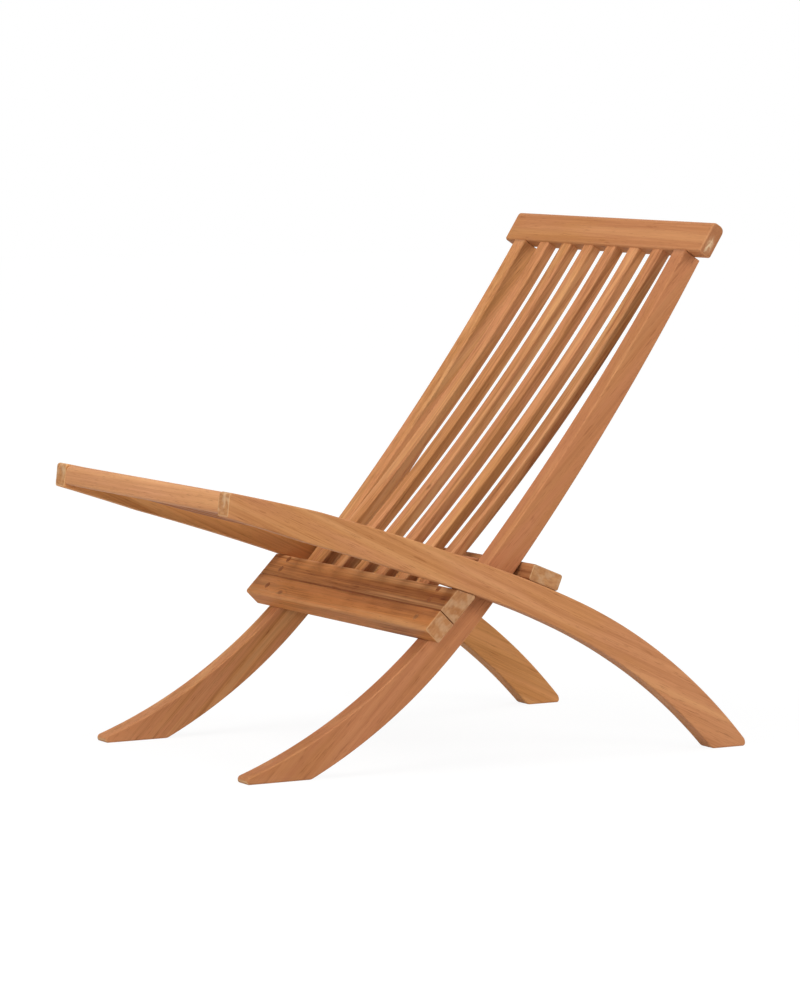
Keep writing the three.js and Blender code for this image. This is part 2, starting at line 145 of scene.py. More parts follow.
def mix(a, b, share):
    return a + (b - a) * share


def smooth_step(value, low, high):
    share = min(max((value - low) / (high - low), 0.0), 1.0)
    return share * share * (3 - 2 * share)


def rail_place(rail, along):
    """A place on a rail's centre line, and which ways the head and the sitter are from it."""
    towards_head = 1 if along >= 0 else -1
    heading = rail["heading"] + (0 if along >= 0 else math.pi)
    at = Vector((0.0, 0.0))
    left = abs(along)
    for length, radius in rail["head_arcs"] if along >= 0 else rail["leg_arcs"]:
        step = min(left, length)
        swing = towards_head * radius
        after = heading + step / swing
        at.x += swing * (math.sin(after) - math.sin(heading))
        at.y -= swing * (math.cos(after) - math.cos(heading))
        heading = after
        left -= step
    headward = Vector((math.cos(heading), math.sin(heading))) * towards_head
    sitting = Vector((-headward.y, headward.x)) * rail["sitting_side"]
    return at, headward, sitting


def rail_depth(rail, along):
    """A rail thins towards its head and swells below the crossing."""
    head, crossing, leg = rail["depths"]
    taper = max(0.0, along - rail["head_length"] + rail["taper_length"]) / rail["taper_length"]
    return mix(crossing, head, taper) + (leg - crossing) * smooth_step(-along, 0.0, SWELL_LENGTH)


def rail_edge(rail, along, side):
    """A place on a rail's sitting side, where side is 1, or on its underside, where it is -1."""
    at, _, sitting = rail_place(rail, along)
    return at + sitting * (side * rail_depth(rail, along) / 2)


def solve(measure, low, high):
    """Where between two values a measure passes through zero."""
    rising = measure(high) > measure(low)
    for _ in range(SOLVE_ROUNDS):
        middle = (low + high) / 2
        if (measure(middle) > 0) == rising:
            high = middle
        else:
            low = middle
    return (low + high) / 2


def beyond_underside(rail, point):
    """How far a point lies outside a rail's underside."""
    along = 0.0
    for _ in range(NEAREST_ROUNDS):
        at, headward, _ = rail_place(rail, along)
        along += headward.dot(point - at)
    at, _, sitting = rail_place(rail, along)
    return -sitting.dot(point - at) - rail_depth(rail, along) / 2


class Bench:
    """A working plane seen from the side: along its direction and out from it."""

    def __init__(self, origin, along, out):
        self.origin = origin
        self.along = along
        self.out = out

    def point(self, along, out):
        return self.origin + self.along * along + self.out * out

    def rectangle(self, start, end, low, high):
        return [
            self.point(start, low), self.point(end, low),
            self.point(end, high), self.point(start, high)]


def seat_on(rail, start, length):
    """The plane of a straight bar that sits on a rail's sitting side."""
    first = rail_edge(rail, start, 1)
    along = (rail_edge(rail, start - length, 1) - first).normalized()
    _, _, sitting = rail_place(rail, start - length / 2)
    out = (sitting - along * sitting.dot(along)).normalized()
    crown = out.dot(rail_edge(rail, start - length / 2, 1) - first)
    return Bench(first + out * (max(crown, 0.0) + FIT_GAP), along, out)


def clip(outline, through, normal):
    """Keeps the part of an outline that lies on the side the normal points to."""
    kept = []
    for index, point in enumerate(outline):
        after = outline[(index + 1) % len(outline)]
        here, there = normal.dot(point - through), normal.dot(after - through)
        if here >= 0:
            kept.append(point)
        if (here >= 0) != (there >= 0):
            kept.append(point.lerp(after, here / (here - there)))
    return kept


def round_corners(outline, radius_at):
    """An outline with an arc at each sharp corner, of the radius for that corner."""
    rounded = []
    for index, corner in enumerate(outline):
        back = outline[index - 1] - corner
        ahead = outline[(index + 1) % len(outline)] - corner
        turn = math.pi - back.angle(ahead)
        radius = radius_at(corner)
        if radius == 0 or turn < SHARP_TURN:
            rounded.append(corner)
            continue
        reach = min(radius * math.tan(turn / 2), CORNER_REACH_SHARE * min(back.length, ahead.length))
        start = back.normalized() * reach
        bisector = (back.normalized() + ahead.normalized()).normalized()
        centre = bisector * (reach / math.sin(turn / 2))
        spoke = start - centre
        swing = math.copysign(turn, back.x * ahead.y - back.y * ahead.x)
        for step in range(CORNER_STEPS + 1):
            angle = -swing * step / CORNER_STEPS
            turned = Vector((
                spoke.x * math.cos(angle) - spoke.y * math.sin(angle),
                spoke.x * math.sin(angle) + spoke.y * math.cos(angle),
            ))
            rounded.append(corner + centre + turned)
    return rounded


# Where the two frames meet
FRONT_BAR_PLACE = solve(
    lambda along: beyond_underside(SEAT_RAIL, rail_edge(BACK_RAIL, along, 1)) - FIT_GAP, 0.0, FOOT_LIMIT)
REAR_BAR_PLACE = solve(
    lambda along: beyond_underside(
        BACK_RAIL, seat_on(SEAT_RAIL, along, REAR_BAR_WIDTH).point(0, REAR_BAR_THICKNESS)) - FIT_GAP,
    0.0, FOOT_LIMIT)
LOWER_BOARD_START = UPPER_BOARD_WIDTH + BOARD_GAP
FRONT_BAR = seat_on(BACK_RAIL, FRONT_BAR_PLACE, LOWER_BOARD_START + LOWER_BOARD_WIDTH)
REAR_BAR = seat_on(SEAT_RAIL, REAR_BAR_PLACE, REAR_BAR_WIDTH)


def seat_underside():
    """The seat rails' underside above the front crossbar, a fit gap below it."""
    front = FRONT_BAR.point(0, BOARD_THICKNESS)
    along = solve(lambda distance: rail_place(SEAT_RAIL, distance)[0].x - front.x, 0.0, SEAT_REACH)
    _, _, sitting = rail_place(SEAT_RAIL, along)
    return rail_edge(SEAT_RAIL, along, -1) - sitting * FIT_GAP, -sitting


UNDERSIDE_POINT, UNDERSIDE_NORMAL = seat_underside()
_, HEADWARD, SITTING = rail_place(BACK_RAIL, BACK_REACH)
CREST = Bench(rail_edge(BACK_RAIL, BACK_REACH, 1), HEADWARD, SITTING)
CREST_MIDDLE = -CREST_SET_BACK - CREST_THICKNESS / 2

# The seat's front is one leaning plane
REARWARD = Vector((math.cos(SEAT_FRONT_LEAN), -math.sin(SEAT_FRONT_LEAN)))
FRONT_UNDER_PLACE = solve(
    lambda along: rail_edge(SEAT_RAIL, along, -1).x + SEAT_REACH, 0.0, 2 * SEAT_REACH)
SEAT_FRONT = rail_edge(SEAT_RAIL, FRONT_UNDER_PLACE, -1)
FRONT_PLACE = solve(
    lambda along: REARWARD.dot(rail_edge(SEAT_RAIL, along, 1) - SEAT_FRONT), 0.0, 2 * SEAT_REACH)
SEAT_TOP_FRONT = rail_edge(SEAT_RAIL, FRONT_PLACE, 1)
_, SEAT_HEADWARD, SEAT_UP = rail_place(SEAT_RAIL, FRONT_PLACE)
FRONT_RAIL = Bench(SEAT_TOP_FRONT, -SEAT_HEADWARD, SEAT_UP)


def rail_outline(rail, head_places):
    """A rail from its foot up the sitting side to its head, and back down its underside."""
    edges = []
    for side, head in zip((1, -1), head_places):
        foot_height = TOE_HEIGHT if side > 0 else 0.0
        foot = solve(
            lambda along: rail_edge(rail, along, side).y + CROSSING_HEIGHT - foot_height, 0.0, FOOT_LIMIT)
        steps = math.ceil((head - foot) / CURVE_STEP)
        edges.append([rail_edge(rail, mix(foot, head, step / steps), side) for step in range(steps + 1)])
    toe = Vector((edges[0][0].x, -CROSSING_HEIGHT))
    return [toe, *edges[0], *reversed(edges[1])]


def back_rail_corners(corner):
    return FOOT_CORNER_RADIUS if corner.y < -CROSSING_HEIGHT / 2 else 0.0


def seat_front_corners(corner):
    return SEAT_FRONT_RADIUS if corner.y > (SEAT_TOP_FRONT.y + SEAT_FRONT.y) / 2 else CORNER_RADIUS


def seat_rail_corners(corner):
    return FOOT_CORNER_RADIUS if corner.y < -CROSSING_HEIGHT / 2 else seat_front_corners(corner)


def front_rail_corners(corner):
    return seat_front_corners(corner) if corner.x < SEAT_FRONT.x + FRONT_RAIL_DEPTH / 2 else CORNER_RADIUS


def crest_corners(corner):
    if CREST.along.dot(corner - CREST.origin) < CREST_HEIGHT / 2:
        return CREST_LOWER_CORNER
    return CREST_FRONT_CORNER if CREST.out.dot(corner - CREST.origin) > CREST_MIDDLE else CREST_BACK_CORNER


def board_corners(corner):
    """The front crossbar's boards are rounded outside and sharp at the joint between them."""
    along = FRONT_BAR.along.dot(corner - FRONT_BAR.origin)
    at_joint = UPPER_BOARD_WIDTH - CORNER_RADIUS < along < LOWER_BOARD_START + CORNER_RADIUS
    return 0.0 if at_joint else CORNER_RADIUS


BACK_RAIL_OUTLINE = round_corners(rail_outline(BACK_RAIL, [BACK_REACH - FIT_GAP] * 2), back_rail_corners)
SEAT_RAIL_OUTLINE = round_corners(
    rail_outline(SEAT_RAIL, [FRONT_PLACE, FRONT_UNDER_PLACE]), seat_rail_corners)
SEAT_REACHES = [point.x for point in SEAT_RAIL_OUTLINE]
CROSSING_Y = -(min(SEAT_REACHES) + max(SEAT_REACHES)) / 2


# Meshes

def to_room(x, point):
    """A side-view point at a place across the chair, in metres in the chair's frame."""
    return Vector((x, point.x + CROSSING_Y, point.y + CROSSING_HEIGHT)) * METRES


def side_direction(direction):
    """A side-view direction in the chair's frame."""
    return Vector((0, direction.x, direction.y)).normalized()


def signed_area(outline):
    return sum(
        point.x * after.y - point.y * after.x
        for point, after in zip(outline, outline[1:] + outline[:1])) / 2


def inward_mitres(outline):
    """For each corner of an outline, the step that moves both its sides inwards by one."""
    facing = math.copysign(1, signed_area(outline))
    mitres = []
    for index, corner in enumerate(outline):
        back = (corner - outline[index - 1]).normalized()
        ahead = (outline[(index + 1) % len(outline)] - corner).normalized()
        tangent = (back + ahead).normalized()
        normal = Vector((-tangent.y, tangent.x)) * facing
        mitres.append(normal / max(normal.dot(Vector((-ahead.y, ahead.x)) * facing), SHARPEST_MITRE))
    return mitres


def corner_wear_and_highlight(outline):
    """How sharply an outline bends at its points: 1 at a small rounded corner, 0 on a long curve."""
    wear_and_highlight = []
    for index, corner in enumerate(outline):
        back = corner - outline[index - 1]
        ahead = outline[(index + 1) % len(outline)] - corner
        bend = back.angle(ahead) / max((back.length + ahead.length) / 2, SHORTEST_SIDE)
        wear_and_highlight.append(smooth_step(bend, CURVE_BEND, CORNER_BEND))
    return wear_and_highlight


def softened_solid(outline, width, centre, rounding):
    """An outline run across the chair, with its long edges rounded: points, faces, and edge wear with a
    painted highlight.
    """
    mitres = inward_mitres(outline)
    corners = corner_wear_and_highlight(outline)
    rings = []
    for side in (1, -1):
        steps = range(EDGE_STEPS + 1) if side > 0 else reversed(range(EDGE_STEPS + 1))
        for step in steps:
            angle = math.pi / 2 * step / EDGE_STEPS
            inset = rounding * (1 - math.sin(angle))
            x = centre + side * (width / 2 - rounding * (1 - math.cos(angle)))
            # Palest in the middle of each rounded edge and at small rounded corners: edge wear with a
            # painted highlight
            band = math.sin(2 * angle)
            rings.append((x, inset, band))
    points, wear_and_highlight = [], []
    for x, inset, band in rings:
        for point, mitre, corner in zip(outline, mitres, corners):
            points.append(to_room(x, point + mitre * inset))
            wear_and_highlight.append(max(band, corner))
    count = len(outline)
    last = len(points) - count
    faces = [list(range(count)), list(reversed(range(last, last + count)))]
    for ring in range(len(rings) - 1):
        here, there = ring * count, (ring + 1) * count
        for index in range(count):
            after = (index + 1) % count
            faces.append([here + index, there + index, there + after, here + after])
    if signed_area(outline) < 0:
        faces = [face[::-1] for face in faces]
    return points, faces, wear_and_highlight


def in_view(piece):
    """Adds an object to the scene."""
    bpy.context.scene.collection.objects.link(piece)
    return piece


def settle(piece):
    """The finished mesh of a piece with its modifiers, as a plain object under the same name."""
    name = piece.name
    bpy.context.view_layer.update()
    graph = bpy.context.evaluated_depsgraph_get()
    mesh = bpy.data.meshes.new_from_object(
        piece.evaluated_get(graph), preserve_all_data_layers=True, depsgraph=graph)
    bpy.data.objects.remove(piece)
    mesh.name = name
    return in_view(bpy.data.objects.new(name, mesh))


def even_normals(piece):
    """Keeps the flat faces flat to the light beside their rounded edges."""
    normals = piece.modifiers.new("even normals", "WEIGHTED_NORMAL")
    normals.weight = FLAT_FACE_WEIGHT


# Where a board was sawn from the tree, along, around and out from the pith in metres
NEAREST_BOARD = (0.0, 0.02, 0.03)
FARTHEST_BOARD = (3.0, 0.07, 0.1)
BOARD_STEPS = (0.618034, 0.754878, 0.569840)
TONE_STEP = 0.819173

# Knots, by their place on a board in metres, and the slope towards the fibre at which a face is a cut end
KNOT_RADIUS = 0.0035
KNOT_AWAY = 9.0
NO_KNOT = (KNOT_AWAY, KNOT_AWAY, 0.0)
LOWER_BOARD_KNOT = (-0.151, 0.023, 0.0)
SLAT_KNOT = (-0.125, 0.0068, 0.0)
CUT_SLOPES = (0.55, 0.95)


def board_mark(number):
    """A numbered board's place in the tree and its tone, from -1 to 1."""
    shift = [
        mix(near, far, math.modf(number * step)[0])
        for near, far, step in zip(NEAREST_BOARD, FARTHEST_BOARD, BOARD_STEPS)]
    return shift, 2 * math.modf(number * TONE_STEP)[0] - 1


def store(mesh, name, kind, values):
    attribute = mesh.attributes.new(name, kind, "POINT")
    attribute.data.foreach_set("vector" if kind == "FLOAT_VECTOR" else "value", values)


def lay_grain(mesh, fibre, side, centre, number, wear_and_highlight, knot):
    """Stores where each point of a board lies in the board: along the fibre, across it and through it."""
    shift, tone = board_mark(number)
    through = fibre.cross(side)
    arms = [vertex.co - centre for vertex in mesh.vertices]
    cut = [smooth_step(abs(vertex.normal.dot(fibre)), *CUT_SLOPES) for vertex in mesh.vertices]
    count = len(arms)
    store(mesh, "grain", "FLOAT_VECTOR", [
        value for arm in arms for value in (arm.dot(fibre), arm.dot(side), arm.dot(through))])
    store(mesh, "board", "FLOAT_VECTOR", shift * count)
    store(mesh, "tone", "FLOAT", [tone] * count)
    store(mesh, "knot", "FLOAT_VECTOR", knot * count)
    # Edge wear with a painted highlight on the rounded edges, for the finish to lighten
    store(mesh, "edge_wear_and_highlight", "FLOAT", wear_and_highlight)
    store(mesh, "end_grain", "FLOAT", cut)


def make_board(node, body, slot, material, outline, width, x, fibre, side, number, middle,
               rounding=EDGE_ROUNDING, knot=NO_KNOT):
    """A board across the chair, its grain measured from a side-view point in its middle."""
    name = f"{node}_piece"
    points, faces, wear_and_highlight = softened_solid(outline, width, x, rounding)
    mesh = bpy.data.meshes.new(name)
    mesh.from_pydata(points, [], faces)
    mesh.shade_smooth()
    lay_grain(mesh, fibre, side, to_room(x, middle), number, wear_and_highlight, knot)
    mesh.materials.append(material)
    piece = in_view(bpy.data.objects.new(name, mesh))
    even_normals(piece)
    piece = settle(piece)
    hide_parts(node)
    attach(piece, body)


# Materials

def linear(red, green, blue):
    """A colour given as seen on a screen, 0 to 255."""
    def channel(value):
        value /= 255
        return value / 12.92 if value <= 0.04045 else ((value + 0.055) / 1.055) ** 2.4
    return (channel(red), channel(green), channel(blue), 1.0)


class Nodes:
    """Short ways to add and join the nodes of one material or one tree of geometry nodes."""

    def __init__(self, tree):
        self.tree = tree

    def add(self, kind, **settings):
        node = self.tree.nodes.new(kind)
        for name, value in settings.items():
            setattr(node, name, value)
        return node

    def join(self, output, socket):
        self.tree.links.new(output, socket)

    def feed(self, node, values):
        for name, value in values.items():
            socket = node.inputs[name]
            if isinstance(value, bpy.types.NodeSocket):
                self.join(value, socket)
            else:
                socket.default_value = value

    def math(self, operation, *values, clamp=False):
        node = self.add("ShaderNodeMath", operation=operation, use_clamp=clamp)
        self.feed(node, dict(enumerate(values)))
        return node.outputs[0]

    def times(self, product, *factors):
        for factor in factors:
            product = self.math("MULTIPLY", product, factor)
        return product

    def vector(self, operation, *values):
        node = self.add("ShaderNodeVectorMath", operation=operation)
        self.feed(node, dict(enumerate(values)))
        return node.outputs["Vector"]

    def length(self, vector, weights=(1.0, 1.0, 1.0)):
        node = self.add("ShaderNodeVectorMath", operation="LENGTH")
        self.join(self.vector("MULTIPLY", vector, weights), node.inputs[0])
        return node.outputs["Value"]

    def split(self, vector):
        node = self.add("ShaderNodeSeparateXYZ")
        self.join(vector, node.inputs[0])
        return node.outputs

    def combine(self, **parts):
        node = self.add("ShaderNodeCombineXYZ")
        self.feed(node, parts)
        return node.outputs[0]

    def attribute(self, name):
        return self.add("ShaderNodeAttribute", attribute_name=name).outputs

    def noise(self, place, scale, detail, roughness, shift=(0.0, 0.0, 0.0)):
        node = self.add("ShaderNodeTexNoise")
        self.feed(node, {"Vector": self.vector("MULTIPLY_ADD", place, scale, shift), "Scale": 1.0,
                         "Detail": detail, "Roughness": roughness})
        return node.outputs["Fac"]

    def ramp(self, value, low, high, start=0.0, end=1.0):
        node = self.add("ShaderNodeMapRange", interpolation_type="SMOOTHSTEP")
        self.feed(node, {"Value": value, "From Min": low, "From Max": high, "To Min": start, "To Max": end})
        return node.outputs["Result"]

    def blend(self, share, first, second):
        node = self.add("ShaderNodeMix", data_type="RGBA")
        self.feed(node, {0: share, 6: first, 7: second})
        return node.outputs[2]

    def tint(self, colour, amount, share, paint):
        """Lays a paint over a colour, by a share of an amount that varies over the surface."""
        return self.blend(self.times(amount, share), colour, paint)

    def position(self):
        return self.add("GeometryNodeInputPosition").outputs[0]

    def shape(self, kind, geometry, values, **settings):
        """A geometry after one more node of a kind."""
        node = self.add(kind, **settings)
        self.feed(node, {"Geometry": geometry, **values})
        return node.outputs["Geometry"]

    def keep(self, geometry, name, value, kind="FLOAT_VECTOR", domain="POINT"):
        """A geometry with a value stored on it under a name."""
        return self.shape("GeometryNodeStoreNamedAttribute", geometry, {"Name": name, "Value": value},
                          data_type=kind, domain=domain)


def new_material(name):
    """A new material, its nodes and its shader."""
    material = bpy.data.materials.new(name)
    material.use_nodes = True
    return material, Nodes(material.node_tree), material.node_tree.nodes["Principled BSDF"]


def dress(nodes, shader, colour, rough, relief, height, strength):
    """Gives a shader its colour, its roughness and a relief of a height in metres."""
    bump = nodes.add("ShaderNodeBump")
    nodes.feed(bump, {"Height": relief, "Distance": height, "Strength": strength})
    nodes.feed(shader, {"Base Color": colour, "Roughness": rough, "Normal": bump.outputs["Normal"]})


# Patterns in the wood: repeats a metre along, across and through the board, then detail and roughness
SWAY = ((1.7, 6.0, 6.0), 2.0, 0.5)
RIPPLE = ((8.0, 45.0, 45.0), 2.0, 0.5)
PATCH = ((3.0, 34.0, 34.0), 2.0, 0.5)
FIBRE = ((9.0, 620.0, 620.0), 3.0, 0.6)
STREAK = ((3.2, 190.0, 190.0), 3.0, 0.6)
BAND = ((1.2, 48.0, 48.0), 2.0, 0.5)
DRIFT = ((6.0, 18.0, 18.0), 3.0, 0.5)
PORE = ((60.0, 1300.0, 1300.0), 1.0, 0.5)
FLECK = ((34.0, 340.0, 340.0), 2.0, 0.5)
SHEEN = ((2.0, 62.0, 62.0), 2.0, 0.5, (0.0, 5.0, 5.0))
SPECKLE = ((150.0, 110.0, 330.0), 3.0, 0.5)
BLOTCH = ((70.0, 70.0, 70.0), 2.0, 0.5)
SCRATCH = ((40.0, 400.0, 400.0), 3.0, 0.5)

# Where each mark begins and is full, and its strength there where that isn't 0 and 1
LATE_WOOD_BEGINS = (0.35, 0.93)
LATE_WOOD_ENDS = (1.0, 0.95)
LATE_WOOD_PATCHES = (0.4, 0.65, 0.1, 1.0)
PORE_MARKS = (0.6, 0.74)
PORES_IN_RING = (0.8, 0.1, 0.3, 1.0)
FLECK_MARKS = (0.62, 0.76)
GOLDEN_PARTS = (0.42, 0.6)
SHEEN_BANDS = (0.5, 0.7)
WEAR_AND_HIGHLIGHT_PATCHES = (0.3, 0.7, 0.4, 1.0)
END_SPECKLES = (0.25, 0.75)
END_BLOTCHES = (0.46, 0.66)
SPOT_FADE = (1.3, 0.3)
SPOT_SPECKLES = (0.4, 0.6, 0.2, 1.0)
NEAR_KNOT = (4.0 * KNOT_RADIUS, 0.0)
KNOT_HEART = (1.3 * KNOT_RADIUS, 0.4 * KNOT_RADIUS)

# How far the rings wander with the fibres, in metres, and past a knot, in rings
SWAY_REACH = 0.034
RIPPLE_REACH = 0.004
KNOT_PUSH = 1.5

# How much each direction counts in a distance
OUT_FROM_PITH = (0.0, 1.0, 1.0)
OUT_FROM_KNOT = (0.6, 1.0, 0.0)
OVER_THE_FACE = (1.0, 1.0, 0.0)

# How dark each mark makes the wood, from its light colour at 0 to its dark colour at 1
PLAIN_DEPTH = 0.3
LATE_WOOD_DEPTH = 0.26
FIBRE_DEPTH = 1.05
STREAK_DEPTH = 1.05
BAND_DEPTH = 0.9
TONE_DEPTH = 0.17
FLECK_DEPTH = 0.32

# Colours laid over the wood, and their shares
GOLDEN_SHARE = 0.6
SHEEN_PALE = linear(226, 171, 115)
SHEEN_SHARE = 0.45
PORE_BROWN = linear(112, 62, 34)
PORE_SHARE = 0.4
KNOT_BROWN = linear(110, 62, 34)
KNOT_SHARE = 0.6
STAIN_BROWN = linear(116, 54, 22)
STAIN_SHARE = 0.6
RIM_BROWN = linear(96, 52, 30)
RIM_SHARE = 0.7
RIM_START = 0.85
CUT_LIGHT = linear(186, 135, 87)
CUT_DARK = linear(160, 108, 66)
CUT_SHADE = linear(146, 88, 54)
CUT_PALE = linear(216, 188, 150)
CUT_SHARE = 0.85
# Paler edges and rims of cut ends: partly wear, partly a painted highlight on the rounded edges
WORN_AND_HIGHLIGHT_PALE = linear(216, 164, 120)
WORN_AND_HIGHLIGHT_SHARE = 0.12
WORN_CUT_AND_HIGHLIGHT_PALE = linear(206, 172, 128)
WORN_CUT_AND_HIGHLIGHT_SHARE = 2.2

# The front crossbar's painted light along the boards, lighter towards the far end, and its stained joint,
# in metres across from the joint and along from the boards' middle
CROSSBAR_PAINTED_LIGHT = (-0.24, 0.02, -0.2, 0.06)
STAIN_WAVER = -0.014
STAIN_ABOVE = (0.004, -0.006)
STAIN_BELOW = (0.004, -0.001)
STAIN_ALONG = (-0.17, -0.02)
STAIN_STREAKS = (0.42, 0.6, 0.15, 1.0)
JOINT_LINE = (0.0016, 0.0004)
JOINT_LINE_ALONG = (-0.22, -0.08, 0.2, 1.0)

# The feel of sanded teak
SANDED_ROUGHNESS = 0.56
FIBRE_ROUGHNESS = 0.16
LATE_WOOD_POLISH = -0.06
PORE_RELIEF = -0.8
LATE_WOOD_RELIEF = 0.3
RELIEF_HEIGHT = 0.0003
RELIEF_STRENGTH = 0.4
OILY_SHINE = 0.15


def growth_rings(nodes, here, place, ring_pitch):
    """How far out in its ring each place is, from 0 to 1, and how near to the heart of a knot."""
    # The fibres wander a little, so the rings do too
    ripple = nodes.times(nodes.noise(place, *RIPPLE), RIPPLE_REACH)
    wander = nodes.math("MULTIPLY_ADD", nodes.noise(place, *SWAY), SWAY_REACH, ripple)
    from_pith = nodes.math("ADD", nodes.length(place, OUT_FROM_PITH), wander)
    ring = nodes.math("DIVIDE", from_pith, ring_pitch)

    # A knot pushes the rings apart and darkens at its heart
    arm = nodes.vector("SUBTRACT", here, nodes.attribute("knot")["Vector"])
    from_knot = nodes.length(arm, OUT_FROM_KNOT)
    ring = nodes.math("MULTIPLY_ADD", nodes.ramp(from_knot, *NEAR_KNOT), KNOT_PUSH, ring)
    return nodes.math("FRACT", ring), nodes.ramp(from_knot, *KNOT_HEART)


def joint_stain(nodes, here, streak):
    """How dark it is along the joint of two boards: a broad streaky stain on one side and a thin line."""
    parts = nodes.split(here)
    above = nodes.math("MULTIPLY_ADD", streak, STAIN_WAVER, nodes.times(parts["Y"], -1.0))
    broad = nodes.times(
        nodes.ramp(above, *STAIN_ABOVE), nodes.ramp(parts["Y"], *STAIN_BELOW),
        nodes.ramp(parts["X"], *STAIN_ALONG), nodes.ramp(streak, *STAIN_STREAKS))
    thin = nodes.times(
        nodes.ramp(nodes.math("ABSOLUTE", parts["Y"]), *JOINT_LINE),
        nodes.ramp(parts["X"], *JOINT_LINE_ALONG))
    return nodes.math("MAXIMUM", broad, thin)


def ends_and_edges(nodes, here, place, colour, patch, pale, pale_spot, end_shade):
    """Cut ends are dull, with pale patches, and handled edges and the rims of cut ends are a little paler
    than the faces: partly wear, partly a painted highlight.
    """
    cut = nodes.attribute("end_grain")["Fac"]
    speckle = nodes.noise(place, *SPECKLE)
    if pale_spot:
        spot_y, spot_z, height, width = pale_spot
        arm = nodes.vector("SUBTRACT", here, (0.0, spot_y, spot_z))
        spot = nodes.ramp(nodes.length(arm, (0.0, 1 / height, 1 / width)), *SPOT_FADE)
        blotch = nodes.times(spot, nodes.ramp(speckle, *SPOT_SPECKLES))
    else:
        blotch = nodes.ramp(nodes.noise(place, *BLOTCH), *END_BLOTCHES)
    end = nodes.blend(nodes.ramp(speckle, *END_SPECKLES), CUT_LIGHT, CUT_DARK)
    end = nodes.blend(end_shade, end, CUT_SHADE)
    end = nodes.tint(end, blotch, pale, CUT_PALE)
    colour = nodes.tint(colour, cut, CUT_SHARE, end)

    # Edges, and where a face turns into a cut end, are painted paler: partly wear, partly a painted
    # highlight
    edge_wear_and_highlight = nodes.attribute("edge_wear_and_highlight")["Fac"]
    worn_and_highlit = nodes.times(edge_wear_and_highlight, nodes.ramp(patch, *WEAR_AND_HIGHLIGHT_PATCHES))
    colour = nodes.tint(colour, worn_and_highlit, WORN_AND_HIGHLIGHT_SHARE, WORN_AND_HIGHLIGHT_PALE)
    worn_cut_and_highlit = nodes.times(cut, nodes.math("SUBTRACT", 1.0, cut), edge_wear_and_highlight)
    return nodes.tint(colour, worn_cut_and_highlit, WORN_CUT_AND_HIGHLIGHT_SHARE * (1 - end_shade), WORN_CUT_AND_HIGHLIGHT_PALE)


